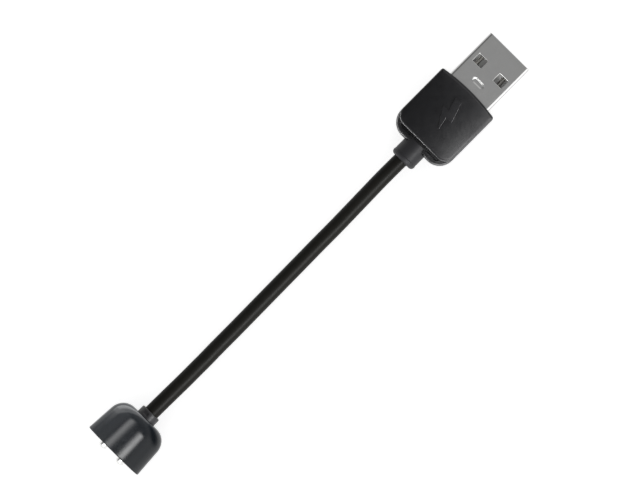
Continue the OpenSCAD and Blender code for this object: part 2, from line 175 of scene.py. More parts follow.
def make_camera():
    """Nearly straight above the cable, 1.5 m up with a long lens. The plug is at the upper right."""
    place = Vector((10.58, -36.02, 1500)) * MM
    aim = Vector((1.026, 0.055, 4)) * MM
    roll = math.radians(-45.214)
    data = bpy.data.cameras.new("camera")
    data.sensor_width = 36
    data.lens = 385
    data.clip_start = 10 * MM
    data.clip_end = 20
    camera = bpy.data.objects.new("camera", data)
    look = (aim - place).normalized()
    right = Vector((math.cos(roll), math.sin(roll), 0))
    right = (right - look * right.dot(look)).normalized()
    up = right.cross(look)
    camera.matrix_world = Matrix.Translation(place) @ Matrix((right, up, -look)).transposed().to_4x4()
    bpy.context.scene.collection.objects.link(camera)
    bpy.context.scene.camera = camera


# ---------- Shape helpers ----------

def smooth(t):
    """A soft step from 0 to 1 as t goes from 0 to 1."""
    t = min(1, max(0, t))
    return t * t * (3 - 2 * t)


def arc(centre, radius, start, end, steps):
    """Points on an arc in a plane, with its angles in degrees."""
    return [
        (centre[0] + radius * math.cos(math.radians(a)), centre[1] + radius * math.sin(math.radians(a)))
        for a in (start + (end - start) * i / steps for i in range(steps + 1))
    ]


def rounded(corners, steps=5):
    """A closed outline with its corners rounded. Each corner is (u, v, radius)."""
    points = []
    count = len(corners)
    for i in range(count):
        before, here, after = (Vector(corners[(i + k) % count][:2]) for k in (-1, 0, 1))
        radius = corners[i][2]
        a, b = (before - here).normalized(), (after - here).normalized()
        half = a.angle(b) / 2
        if radius <= 0 or half > math.radians(89):
            points.append(tuple(here))
            continue
        reach = radius / math.tan(half)
        centre = here + (a + b).normalized() * radius / math.sin(half)
        start, end = here + a * reach - centre, here + b * reach - centre
        turn = math.atan2(start.x * end.y - start.y * end.x, start.dot(end))
        for k in range(steps + 1):
            c, s = math.cos(turn * k / steps), math.sin(turn * k / steps)
            points.append((centre.x + start.x * c - start.y * s, centre.y + start.x * s + start.y * c))
    return points


def rounding(turn, radius):
    """How far a rounded edge is still below its top and set in from its side, at an angle in degrees."""
    return radius * (1 - math.sin(math.radians(turn))), radius * (1 - math.cos(math.radians(turn)))


def steps_between(low, high, step):
    """Values from low up to but not including high, about a step apart."""
    count = max(1, round((high - low) / step))
    return [low + (high - low) * i / count for i in range(count)]


# ---------- Mesh helpers ----------

def add_object(name, data):
    piece = bpy.data.objects.new(name, data)
    bpy.context.scene.collection.objects.link(piece)
    return piece


def mesh_object(name, mesh, sharp=40):
    """An object of that mesh, smooth except at edges sharper than the given angle in degrees."""
    work = bmesh.new()
    work.from_mesh(mesh)
    bmesh.ops.remove_doubles(work, verts=work.verts, dist=1e-8)
    bmesh.ops.recalc_face_normals(work, faces=work.faces)
    work.to_mesh(mesh)
    work.free()
    mesh.polygons.foreach_set("use_smooth", [True] * len(mesh.polygons))
    mesh.set_sharp_from_angle(angle=math.radians(sharp))
    piece = add_object(name, mesh)
    normals = piece.modifiers.new("normals", "WEIGHTED_NORMAL")
    normals.keep_sharp = True
    return piece


def skin(name, rings, loop=False):
    """A solid over rings of equal length: closed on itself if loop, else with a flat cap on each end."""
    count, n = len(rings), len(rings[0])
    spans = count if loop else count - 1
    faces = [
        (i * n + j, i * n + (j + 1) % n, (i + 1) % count * n + (j + 1) % n, (i + 1) % count * n + j)
        for i in range(spans)
        for j in range(n)
    ]
    if not loop:
        faces += [tuple(range(n)), tuple(range((count - 1) * n, count * n))]
    mesh = bpy.data.meshes.new(name)
    mesh.from_pydata([p for ring in rings for p in ring], [], faces)
    return mesh_object(name, mesh)


def lathe(name, outline, y=0.0, loop=True, count=64):
    """A solid turned about a line along X. Its outline is a list of (x, radius)."""
    turns = [2 * math.pi * k / count for k in range(count)]
    rings = [[(x, y + r * math.cos(a), AXIS_Z + r * math.sin(a)) for a in turns] for x, r in outline]
    return skin(name, rings, loop)


def prism(name, outline, low, high, place):
    """An outline swept between two levels. place turns (u, v, level) into a point."""
    return skin(name, [[place(u, v, level) for u, v in outline] for level in (low, high)])


def upright(u, v, level):
    """A point of a prism that stands along Z."""
    return u, v, level


def crosswise(u, v, level):
    """A point of a prism that lies along Y."""
    return u, level, v


def bevelled(piece, width, segments=2, angle=35):
    """Rounds the edges that are sharper than the angle, below the modifier that sets the normals."""
    bevel = piece.modifiers.new("bevel", "BEVEL")
    bevel.width = width
    bevel.segments = segments
    bevel.limit_method = "ANGLE"
    bevel.angle_limit = math.radians(angle)
    bevel.use_clamp_overlap = True
    piece.modifiers.move(len(piece.modifiers) - 1, 0)
    return piece


def bevelled_where(piece, width, chosen, angle=50):
    """Rounds the piece's sharper edges, but only those whose middle point is chosen."""
    work = bmesh.new()
    work.from_mesh(piece.data)
    weights = work.edges.layers.float.new("bevel_weight_edge")
    for edge in work.edges:
        middle = (edge.verts[0].co + edge.verts[1].co) / 2
        if edge.calc_face_angle(0) > math.radians(angle) and chosen(middle):
            edge[weights] = 1
    work.to_mesh(piece.data)
    work.free()
    bevelled(piece, width, segments=3)
    piece.modifiers["bevel"].limit_method = "WEIGHT"


def apply_modifiers(piece):
    """The piece as it is shown, with nothing live left on it but the modifier that sets the normals."""
    normals = piece.modifiers.get("normals")
    if normals:
        piece.modifiers.remove(normals)
    name = piece.name
    bpy.context.view_layer.update()
    mesh = bpy.data.meshes.new_from_object(piece.evaluated_get(bpy.context.evaluated_depsgraph_get()))
    bpy.data.objects.remove(piece)
    return mesh_object(name, mesh)


def cut(piece, *cutters):
    """The piece with the cutters taken out of it."""
    for cutter in cutters:
        boolean = piece.modifiers.new("cut", "BOOLEAN")
        boolean.operation = "DIFFERENCE"
        boolean.solver = "EXACT"
        boolean.object = cutter
    piece = apply_modifiers(piece)
    for cutter in cutters:
        bpy.data.objects.remove(cutter)
    return piece


def dress(piece, material, body=ROOT, replaces=()):
    """Gives a finished piece its material, its body, and the CAD nodes that it stands for."""
    piece.data.materials.clear()
    piece.data.materials.append(material)
    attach(piece, body)
    if replaces:
        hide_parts(*replaces)


# ---------- Materials ----------

def surface(
    name, colour, roughness, grain=0.1, depth=2e-6, spread=0.06, mottle=0.12, stretch=(1, 1, 1),
    metallic=0.0, specular=0.5, scratches=0.0, broad=1.6, tint=None,
):
    """A material with grain, and with patches that vary in colour and gloss.

    grain and broad are the sizes in millimetres of the fine grain and of the patches, depth is the
    grain's height in metres, stretch lengthens the grain along an axis, and tint is the colour that
    the patches turn to.
    """
    material = bpy.data.materials.new(name)
    material.use_nodes = True
    tree = material.node_tree
    nodes, link = tree.nodes, tree.links.new
    shader = nodes["Principled BSDF"]
    shader.inputs["Metallic"].default_value = metallic
    shader.inputs["Specular IOR Level"].default_value = specular

    coords = nodes.new("ShaderNodeTexCoord")
    scaled = nodes.new("ShaderNodeMapping")
    scaled.inputs["Scale"].default_value = [1 / s for s in stretch]
    link(coords.outputs["Object"], scaled.inputs["Vector"])

    def noise(size, detail, source):
        node = nodes.new("ShaderNodeTexNoise")
        node.inputs["Scale"].default_value = 1 / (size * MM)
        node.inputs["Detail"].default_value = detail
        link(source, node.inputs["Vector"])
        return node.outputs["Fac"]

    fine = noise(grain, 3, scaled.outputs["Vector"])
    patches = noise(broad, 4, coords.outputs["Object"])

    paint = nodes.new("ShaderNodeMix")
    paint.data_type = "RGBA"
    second = tint or colour
    paint.inputs["A"].default_value = (*[c * (1 - mottle) for c in colour], 1)
    paint.inputs["B"].default_value = (*[min(1, c * (1 + mottle)) for c in second], 1)
    link(patches, paint.inputs["Factor"])
    link(paint.outputs["Result"], shader.inputs["Base Color"])

    # Gloss follows the mean of the grain and the patches
    both = nodes.new("ShaderNodeMath")
    both.operation = "MULTIPLY_ADD"
    both.inputs[1].default_value = 0.5
    link(fine, both.inputs[0])
    halved = nodes.new("ShaderNodeMath")
    halved.operation = "MULTIPLY"
    halved.inputs[1].default_value = 0.5
    link(patches, halved.inputs[0])
    link(halved.outputs[0], both.inputs[2])
    gloss = nodes.new("ShaderNodeMapRange")
    gloss.inputs["From Min"].default_value = 0.3
    gloss.inputs["From Max"].default_value = 0.7
    gloss.inputs["To Min"].default_value = roughness - spread
    gloss.inputs["To Max"].default_value = roughness + spread
    link(both.outputs[0], gloss.inputs["Value"])
    link(gloss.outputs["Result"], shader.inputs["Roughness"])

    height = fine
    if scratches:
        lines = noise(0.35, 2, scaled.outputs["Vector"])
        edge = nodes.new("ShaderNodeMapRange")
        edge.inputs["From Min"].default_value = 0.62
        edge.inputs["From Max"].default_value = 0.66
        link(lines, edge.inputs["Value"])
        total = nodes.new("ShaderNodeMath")
        total.operation = "MULTIPLY_ADD"
        total.inputs[1].default_value = -scratches
        link(edge.outputs["Result"], total.inputs[0])
        link(fine, total.inputs[2])
        height = total.outputs[0]
    bump = nodes.new("ShaderNodeBump")
    bump.inputs["Distance"].default_value = depth
    link(height, bump.inputs["Height"])
    link(bump.outputs["Normal"], shader.inputs["Normal"])
    return material


def make_materials():
    """One material for each of the record's slots, under the slot's name."""
    return {
        "jacket": surface("cable_rubber", (0.0058, 0.0056, 0.0046), 0.42, grain=0.09, depth=2.5e-6,
                          stretch=(2.5, 1, 1), specular=0.09, mottle=0.2),
        "dock_shell": surface("dock_plastic", (0.009, 0.011, 0.013), 0.165, grain=0.07, depth=4e-7,
                              spread=0.03, tint=(0.0075, 0.0102, 0.0138)),
        "face_plate": surface("face_plastic", (0.012, 0.012, 0.013), 0.5, grain=0.08, depth=3e-6),
        "dock_collar": surface("collar_plastic", (0.016, 0.016, 0.018), 0.42, grain=0.09, depth=2e-6),
        "sleeve": surface("sleeve_plastic", (0.017, 0.017, 0.019), 0.5, grain=0.1, depth=2e-6,
                          specular=0.34),
        "grip": surface("grip_plastic", (0.0045, 0.0045, 0.0053), 0.33, grain=0.13, depth=4e-6,
                        specular=0.35, mottle=0.18),
        "usb_steel": surface("nickel_steel", (0.52, 0.52, 0.515), 0.2, grain=0.06, depth=3e-7,
                             spread=0.04, stretch=(8, 1, 1), metallic=1, mottle=0.03, scratches=0.3),
        "insulator": surface("insulator_plastic", (0.55, 0.55, 0.54), 0.4, grain=0.1),
        "contact_plate": surface("plated_strip", (0.72, 0.7, 0.66), 0.22, grain=0.05, depth=4e-7,
                                 stretch=(8, 1, 1), metallic=1, mottle=0.05),
        "pin_plate": surface("pin_plating", (0.8, 0.8, 0.79), 0.2, grain=0.05, depth=3e-7,
                             stretch=(1, 6, 6), metallic=1, mottle=0.05),
        "gold_plate": surface("gold_plating", (0.83, 0.6, 0.26), 0.26, grain=0.05, depth=4e-7,
                              stretch=(1, 6, 6), metallic=1, mottle=0.06),
        "spring_steel": surface("spring_wire", (0.55, 0.55, 0.57), 0.3, metallic=1),
        "magnet": surface("magnet_nickel", (0.6, 0.61, 0.63), 0.28, metallic=1),
        "board": surface("solder_mask", (0.02, 0.11, 0.045), 0.35, grain=0.2),
        "solder": surface("solder_metal", (0.62, 0.63, 0.65), 0.35, grain=0.15, metallic=1),
        "wire_red": surface("red_insulation", (0.36, 0.025, 0.02), 0.4, stretch=(5, 1, 1)),
        "wire_black": surface("black_insulation", (0.012, 0.012, 0.012), 0.4, stretch=(5, 1, 1)),
        "copper": surface("copper_strands", (0.72, 0.36, 0.2), 0.32, grain=0.08, depth=1e-5,
                          stretch=(10, 1, 1), metallic=1),
        "clamp_steel": surface("tinned_steel", (0.5, 0.5, 0.52), 0.36, metallic=1, stretch=(6, 1, 1)),
    }


# ---------- Cable ----------

def make_cable(materials):
    """The jacket as one curve, tucked a little way into the strain relief at each end."""
    start = ROUTE[DOCK_EXIT] - Vector((CABLE_TUCK, 0, 0))
    points = [start, *ROUTE[DOCK_EXIT + 1:PLUG_EXIT + 2]]
    data = bpy.data.curves.new("cable", "CURVE")
    data.dimensions = "3D"
    data.resolution_u = 8
    data.bevel_depth = CABLE_D / 2
    data.bevel_resolution = 10
    data.use_fill_caps = True
    spline = data.splines.new("BEZIER")
    spline.bezier_points.add(len(points) - 1)
    for knot, point in zip(spline.bezier_points, points):
        knot.co = point
        knot.handle_left_type = "AUTO"
        knot.handle_right_type = "AUTO"
    cable = add_object("cable", data)
    dress(cable, materials["jacket"], replaces=["cable_jacket"])


# ---------- Dock ----------

def oval(x, width, height, power=OVAL_POWER):
    """A section of the dock across X, an ellipse with fuller corners."""
    ring = []
    for k in range(OVAL_POINTS):
        a = 2 * math.pi * k / OVAL_POINTS
        c, s = math.cos(a), math.sin(a)
        ring.append((
            x,
            math.copysign(abs(c) ** (2 / power), c) * width / 2,
            AXIS_Z + math.copysign(abs(s) ** (2 / power), s) * height / 2,
        ))
    return ring


def make_dock_shell(materials):
    """A hollow shell: round shoulders behind, open in front, with the collar's hole in its rear."""
    hole = COLLAR_NECK_D + 0.04 * MM
    hole_chamfer, mouth_chamfer = 0.1 * MM, 0.08 * MM
    taper_end = DOCK_HIGH.x - SHOULDER_R
    face_size = (DOCK_HIGH.y * 2, DOCK_HIGH.z - DOCK_LOW.z)

    def shoulder(a, wall):
        """A section of the shoulder, at an angle from the end of the taper to the rear."""
        inset = 1 - math.cos(a)
        sizes = [s - (s - r) * inset - 2 * wall for s, r in zip(SHOULDER_SIZE, REAR_SIZE)]
        return oval(taper_end + (SHOULDER_R - wall) * math.sin(a), *sizes)

    # Outside, from the hole in the rear to the face
    rings = [
        oval(DOCK_HIGH.x - DOCK_WALL, hole, hole, 2), oval(DOCK_HIGH.x - hole_chamfer, hole, hole, 2),
        oval(DOCK_HIGH.x, hole + 2 * hole_chamfer, hole + 2 * hole_chamfer, 2),
    ]
    for i in range(SHOULDER_STEPS + 1):
        rings.append(shoulder(math.radians(90 * (1 - i / SHOULDER_STEPS)), 0))
    taper_steps = 6
    for i in range(1, taper_steps):
        t = i / taper_steps
        sizes = [s + (f - s) * t for s, f in zip(SHOULDER_SIZE, face_size)]
        rings.append(oval(taper_end + (DOCK_LOW.x - taper_end) * t, *sizes))
    for turn in (0, 22.5, 45, 67.5, 90):
        back, inset = rounding(turn, FACE_EDGE_R)
        rings.append(oval(DOCK_LOW.x + back, *[f - 2 * inset for f in face_size]))

    # Inside, from the face back to the rear wall
    inner = [s - 2 * DOCK_WALL for s in SHOULDER_SIZE]
    rings.append(oval(DOCK_LOW.x, *[s + 2 * mouth_chamfer for s in inner]))
    rings.append(oval(DOCK_LOW.x + mouth_chamfer, *inner))
    rings.append(oval(taper_end, *inner))
    for i in range(1, SHOULDER_STEPS):
        rings.append(shoulder(math.radians(90 * i / SHOULDER_STEPS), DOCK_WALL))
    shell = skin("dock_shell", rings, loop=True)
    dress(shell, materials["dock_shell"], replaces=["dock_housing"])


def make_face_plate(materials):
    """The plate that closes the dock, with a countersunk hole for each pin's barrel."""
    width, height = PLATE_HIGH.y - PLATE_LOW.y, PLATE_HIGH.z - PLATE_LOW.z
    edge, near = 0.12 * MM, 0.036 * MM
    depths = ((0, edge), (near, near), (edge, 0), (PLATE_HIGH.x - PLATE_LOW.x, 0))
    plate = skin("face_plate", [
        oval(PLATE_LOW.x + back, width - 2 * inset, height - 2 * inset) for back, inset in depths
    ])
    hole_r, sink_r, sink_depth = BARREL_D / 2 + 0.02 * MM, BARREL_D / 2 + 0.25 * MM, 0.2 * MM
    holes = [
        lathe("hole", [
            (PLATE_LOW.x - MM, sink_r), (PLATE_LOW.x, sink_r), (PLATE_LOW.x + sink_depth, hole_r),
            (PLATE_HIGH.x + MM, hole_r),
        ], y, loop=False)
        for y in (PIN_Y, -PIN_Y)
    ]
    plate = cut(plate, *holes)
    dress(plate, materials["face_plate"], replaces=["dock_face_plate"])


def make_barrel(name, side, materials):
    """A turned barrel that stays in the dock, with a lip in front and a solder tail behind."""
    low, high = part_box(f"pin_barrel_{name}")
    tail_l, back_t, lip_t, flange_t = 1.3 * MM, 0.4 * MM, 0.5 * MM, 0.4 * MM
    bore_r, lip_r, tail_r, flange_r, vent_r = 1.2 * MM, 1.03 * MM, 0.35 * MM, 1.6 * MM, 0.04 * MM
    r = BARREL_D / 2
    front, flange, end = low.x, PLATE_HIGH.x, high.x - tail_l
    outline = rounded([
        (front, lip_r, 0.06 * MM), (front, r, 0.12 * MM), (flange, r, 0), (flange, flange_r, 0.05 * MM),
        (flange + flange_t, flange_r, 0.05 * MM), (flange + flange_t, r, 0), (end, r, 0.1 * MM),
        (end, tail_r, 0), (high.x, tail_r, 0.08 * MM), (high.x, vent_r, 0),
        (end - 0.1 * MM, vent_r, 0), (end - back_t, vent_r, 0), (end - back_t, bore_r, 0.05 * MM),
        (front + lip_t, bore_r, 0.03 * MM), (front + lip_t, lip_r, 0.03 * MM),
    ], steps=3)
    barrel = lathe(f"pin_barrel_{name}.turned", outline, side * PIN_Y, count=48)
    dress(barrel, materials["gold_plate"], replaces=[f"pin_barrel_{name}"])


def make_plunger(name, side, materials):
    """The domed plunger that slides in the barrel, with a collar that keeps it in."""
    low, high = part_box(f"pin_plunger_{name}")
    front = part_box(f"pin_barrel_{name}")[0].x
    tip_r, shank_r, collar_r, dome_r, collar_l = 1 * MM, 0.98 * MM, 1.17 * MM, 1.2 * MM, 1 * MM
    first, last = 2, math.degrees(math.asin((tip_r - 0.1 * MM) / dome_r))
    dome = [(low.x + dome_r - across, up) for across, up in arc((0, 0), dome_r, first, last, 8)]
    edge_x, collar_x = dome[-1][0], high.x - collar_l
    outline = [
        *dome, (edge_x + 0.06 * MM, tip_r - 0.03 * MM), (edge_x + 0.14 * MM, tip_r),
        (front, tip_r), (front + 0.02 * MM, shank_r), (collar_x, shank_r),
        (collar_x, collar_r - 0.04 * MM), (collar_x + 0.04 * MM, collar_r),
        (high.x - 0.06 * MM, collar_r), (high.x, collar_r - 0.06 * MM),
    ]
    plunger = lathe(f"pin_tip_{name}", outline, side * PIN_Y, loop=False, count=48)
    dress(plunger, materials["pin_plate"], f"{name}_pin", [f"pin_plunger_{name}"])


def make_spring(name, side, materials):
    """A wound spring with closed ends, made at one length. The real one shortens towards the barrel's back as
    its pin is pressed.
    """
    low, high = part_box(f"pin_spring_{name}")
    y, coil_r = side * PIN_Y, (high.z - low.z) / 2 - SPRING_WIRE_R
    steps, sides, closed, closed_pitch = 24, 10, 0.75, 2.1 * SPRING_WIRE_R
    start, length = low.x + SPRING_WIRE_R, high.x - low.x - 2 * SPRING_WIRE_R
    closed_l = closed * closed_pitch
    rings = []
    for i in range(round(SPRING_TURNS * steps) + 1):
        turn = i / steps
        if turn < closed:
            x = start + closed_l * turn / closed
        elif turn > SPRING_TURNS - closed:
            x = start + length - closed_l * (SPRING_TURNS - turn) / closed
        else:
            share = (turn - closed) / (SPRING_TURNS - 2 * closed)
            x = start + closed_l + (length - 2 * closed_l) * share
        a = 2 * math.pi * turn
        ring = []
        for k in range(sides):
            b = 2 * math.pi * k / sides
            r = coil_r + SPRING_WIRE_R * math.sin(b)
            ring.append((x + SPRING_WIRE_R * math.cos(b), y + r * math.cos(a), AXIS_Z + r * math.sin(a)))
        rings.append(ring)
    spring = skin(f"pin_coil_{name}", rings)
    dress(spring, materials["spring_steel"], replaces=[f"pin_spring_{name}"])
    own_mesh(spring)


def make_collar(materials):
    """The collar behind the dock, with a slot in its top and its underside, and its flange inside."""
    rear, front = COLLAR_HIGH.x, DOCK_HIGH.x
    neck_r, bore_r, collar_r = COLLAR_NECK_D / 2, CABLE_D / 2 + 0.02 * MM, 2.45 * MM
    collar = lathe("dock_collar", rounded([
        (front, bore_r, 0), (front, collar_r, 0.05 * MM), (rear, collar_r, 0.3 * MM),
        (rear, bore_r, 0.15 * MM),
    ], steps=5), count=96)
    slot_l, slot_w, slot_y, slot_depth, slot_r = 0.7 * MM, 1.7 * MM, 0.9 * MM, 0.35 * MM, 0.15 * MM
    x0 = front + (rear - front - slot_l) / 2
    slots = []
    for side in (1, -1):
        y0, y1 = side * slot_y - slot_w / 2, side * slot_y + slot_w / 2
        corners = [(x0, y0, slot_r), (x0 + slot_l, y0, slot_r), (x0 + slot_l, y1, slot_r), (x0, y1, slot_r)]
        level = AXIS_Z + side * (collar_r - slot_depth)
        slots.append(prism("slot", rounded(corners, steps=3), level, level + side * MM, upright))
    collar = cut(collar, *slots)
    flange_r, flange_t, lap = 2.8 * MM, 1 * MM, 0.02 * MM
    flange_x = front - DOCK_WALL
    neck = lathe("dock_collar_neck", rounded([
        (flange_x - flange_t, bore_r, 0), (flange_x - flange_t, flange_r, 0.1 * MM),
        (flange_x, flange_r, 0.1 * MM), (flange_x, neck_r, 0.05 * MM), (front + lap, neck_r, 0),
        (front + lap, bore_r, 0),
    ], steps=3))
    dress(collar, materials["dock_collar"], replaces=["dock_strain_relief"])
    dress(neck, materials["dock_collar"])


# ---------- Plug ----------

def grip_ring(z, inset=0.0, rear=GRIP_REAR, corner=GRIP_CORNER_R):
    """The grip's outline from above at a height, set in all round, from the front's middle."""
    least_r = 0.05 * MM
    half = GRIP_HALF - inset
    rear = rear + inset
    r = max(corner - inset, least_r)
    front_r = max(GRIP_FRONT_R - inset, least_r)
    bow_r = BOW_R - inset
    bow_x = GRIP_FRONT - BOW_R
    corner_y = half - front_r
    corner_x = bow_x + math.sqrt((bow_r - front_r) ** 2 - corner_y ** 2)
    turn = math.degrees(math.atan2(corner_y, corner_x - bow_x))
    outline = arc((bow_x, 0), bow_r, 0, turn, 12)
    outline += arc((corner_x, corner_y), front_r, turn, 90, 6)[1:]
    outline += [(corner_x + (rear + r - corner_x) * i / 10, half) for i in range(1, 10)]
    outline += arc((rear + r, half - r), r, 90, 180, 12)
    outline += [(rear, (half - r) * (1 - i / 4)) for i in range(1, 5)]
    mirrored = [(x, -y) for x, y in reversed(outline[1:-1])]
    return [(x, y, z) for x, y in outline + mirrored]


def shell_outline(grow):
    """The metal shell's section, larger all round by that much."""
    w, h = SHELL_HIGH.y + grow, (SHELL_HIGH.z - SHELL_LOW.z) / 2 + grow
    r = SHELL_CORNER_R + grow
    return rounded([(w, -h, r), (w, h, r), (-w, h, r), (-w, -h, r)], steps=6)


def grip_cutters():
    """What the two covers leave room for: the metal shell, the sleeve with its neck, and the inside."""
    gap = 0.03 * MM
    mouth = skin("mouth", [
        [(x, u, AXIS_Z + v) for u, v in shell_outline(gap)] for x in (SHELL_LOW.x - MM, GRIP_FRONT + MM)
    ])
    step_x = GRIP_REAR + SLEEVE_OVERLAP + 0.02 * MM
    neck = lathe("neck", [
        (GRIP_REAR - MM, SLEEVE_R), (step_x, SLEEVE_R), (step_x, NECK_R), (GRIP_REAR + 4 * MM, NECK_R),
    ], loop=False)
    half = GRIP_HALF - GRIP_WALL
    back, front = GRIP_REAR + 3.2 * MM, GRIP_FRONT - GRIP_BOW - GRIP_WALL
    outline = rounded([
        (back, -half, 0.8 * MM), (front, -half, 0.5 * MM), (front, half, 0.5 * MM), (back, half, 0.8 * MM),
    ])
    room = prism("room", outline, GRIP_WALL, GRIP_TOP - GRIP_WALL, upright)
    return mouth, neck, room


def make_lower_cover(materials):
    """The lower cover, with a low foot set in below it and a groove where it meets the upper one."""
    foot, edge_r, top = 0.5 * MM, 0.35 * MM, PARTING_Z
    rings = [
        grip_ring(z, inset)
        for z, inset in (
            (0, foot + 0.15 * MM), (0.04 * MM, foot + 0.04 * MM), (0.15 * MM, foot), (foot - 0.05 * MM, foot),
        )
    ]
    for turn in (0, 30, 60, 90):
        inset, up = rounding(turn, edge_r)
        rings.append(grip_ring(foot + up, inset))
    rings += [
        grip_ring(top - PARTING - 0.12 * MM), grip_ring(top - PARTING - 0.03 * MM, 0.03 * MM),
        grip_ring(top - PARTING, 0.12 * MM), grip_ring(top - PARTING, PARTING), grip_ring(top, PARTING),
    ]
    cover = cut(skin("grip_lower", rings), *grip_cutters())
    dress(cover, materials["grip"], replaces=["plug_cover_lower"])


def make_upper_cover(materials):
    """The upper cover: a wall, a ledge round it with a groove at the rear, and a slightly crowned panel."""
    low, high = PARTING_Z, GRIP_TOP - PANEL_T
    ledge_z = high - RECESS_T
    rear, corner = GRIP_REAR + PANEL_SETBACK, PANEL_CORNER_R

    def at_rear(x):
        """How far a point of the wall belongs to the grip's rear, from 0 to 1."""
        return smooth((GRIP_REAR + 4.4 * MM - x) / (3 * MM))

    def ledge(turn):
        """A ring of the ledge's edge, which is lower and rounder round the grip's rear."""
        (down, inset), (rear_down, rear_inset) = (rounding(turn, r) for r in (SIDE_EDGE_R, REAR_EDGE_R))
        side = grip_ring(ledge_z - down, inset)
        back = grip_ring(ledge_z - REAR_DROP - rear_down, rear_inset)
        return [tuple(Vector(p).lerp(Vector(q), at_rear(p[0]))) for p, q in zip(side, back)]

    # How far each point of the panel's outline belongs to its straight rear edge, from 0 to 1
    fade = 0.4 * MM
    shares = [smooth((rear + fade - x) / fade) for x, _, _ in grip_ring(0, 0, rear, corner)]

    def groove(inset, rear_inset, lift, depth):
        """A ring of the groove in front of the panel's rear edge, which fades out at the corners."""
        ring = []
        side, back = (grip_ring(ledge_z + lift, i, rear, corner) for i in (inset, rear_inset))
        for p, q, share in zip(side, back, shares):
            x, y, z = Vector(p).lerp(Vector(q), share)
            ring.append((x, y, z - REAR_DROP * max(at_rear(x), share) - depth * share))
        return ring

    # Wall, from the parting line up to the ledge's edge
    rings = [
        grip_ring(low, PARTING), grip_ring(low + PARTING, PARTING), grip_ring(low + PARTING, 0.12 * MM),
        grip_ring(low + PARTING + 0.03 * MM, 0.03 * MM), grip_ring(low + PARTING + 0.12 * MM),
    ]
    rings += [ledge(turn) for turn in range(0, 91, 15)]

    # Ledge and groove, then the panel's set-in foot and its overhanging underside
    lip, under_r = RECESS_DEPTH - 0.02 * MM, 0.15 * MM
    rings += [
        groove(lip, -GROOVE_W, 0.01 * MM, 0), groove(lip, -GROOVE_W, 0.01 * MM, GROOVE_DEPTH),
        groove(RECESS_DEPTH, RECESS_DEPTH, 0.02 * MM, GROOVE_DEPTH),
        grip_ring(high - 0.05 * MM, RECESS_DEPTH, rear, corner),
    ]
    for turn in (0, 45, 90):
        inset, up = rounding(turn, under_r)
        rings.append(grip_ring(high + up, inset, rear, corner))

    # Panel's edge and its crowned top
    for turn in range(0, 91, 15):
        down, inset = rounding(turn, GRIP_EDGE)
        rings.append(grip_ring(GRIP_TOP - CROWN - down, inset, rear, corner))
    flat = grip_ring(0, GRIP_EDGE, rear, corner)
    middle = (rear + GRIP_FRONT) / 2
    for share in (0.98, 0.92, 0.82, 0.68, 0.5, 0.3, 0.1):
        z = GRIP_TOP - CROWN * share ** 2
        rings.append([(middle + (x - middle) * share, y * share, z) for x, y, _ in flat])
    cover = cut(skin("grip_upper", rings), *grip_cutters())
    dress(cover, materials["grip"], replaces=["plug_cover_upper"])


def make_relief(materials):
    """A generic lightning bolt, raised a little from the panel."""
    corners = [(4.2, 1.3), (4.2, -0.5), (-0.5, -2.1), (-0.5, -0.35), (-4.2, -1.2), (0.9, 2.1), (0.9, 0.35)]
    centre = (GRIP_REAR + GRIP_FRONT) / 2 + 1.4 * MM
    outline = rounded([(centre + u * MM, v * MM, 0.15 * MM) for u, v in corners], steps=3)
    bolt = prism("grip_relief", outline, GRIP_TOP - CROWN - 0.3 * MM, GRIP_TOP + 0.16 * MM, upright)
    bevelled(bolt, 0.14 * MM, segments=3)
    dress(bolt, materials["grip"])


def make_sleeve(materials):
    """The sleeve behind the grip, with a lip round its open end and a neck inside the grip."""
    x0, x1 = SLEEVE_LOW.x, GRIP_REAR
    lip_l, lip_r, bore_r, inner_r = 1.1 * MM, 3.13 * MM, 2.15 * MM, CABLE_D / 2 + 0.1 * MM
    neck_r = NECK_R - 0.02 * MM
    over, inner = x1 + SLEEVE_OVERLAP, x1 + 3 * MM
    sleeve = lathe("plug_sleeve", rounded([
        (x0, bore_r, 0.1 * MM), (x0, lip_r, 0.85 * MM), (x0 + lip_l, lip_r, 0.05 * MM),
        (x0 + lip_l + 0.12 * MM, SLEEVE_R, 0.1 * MM), (over, SLEEVE_R, 0.1 * MM), (over, neck_r, 0),
        (inner, neck_r, 0), (inner, inner_r, 0), (x1, inner_r, 0), (x1, bore_r, 0),
    ], steps=4), count=72)
    dress(sleeve, materials["sleeve"], replaces=["plug_strain_relief"])


# ---------- USB connector ----------

def emboss_depth(x, y):
    """How far the shell's top is pressed in at a point: an oblong dimple with a soft edge."""
    radius = EMBOSS_SIZE[0] / 2
    straight = EMBOSS_SIZE[1] / 2 - radius
    away = math.hypot(x - (TIP - EMBOSS_FROM_TIP), max(abs(y) - straight, 0))
    return EMBOSS_DEPTH * smooth((radius - away) / EMBOSS_RAMP)


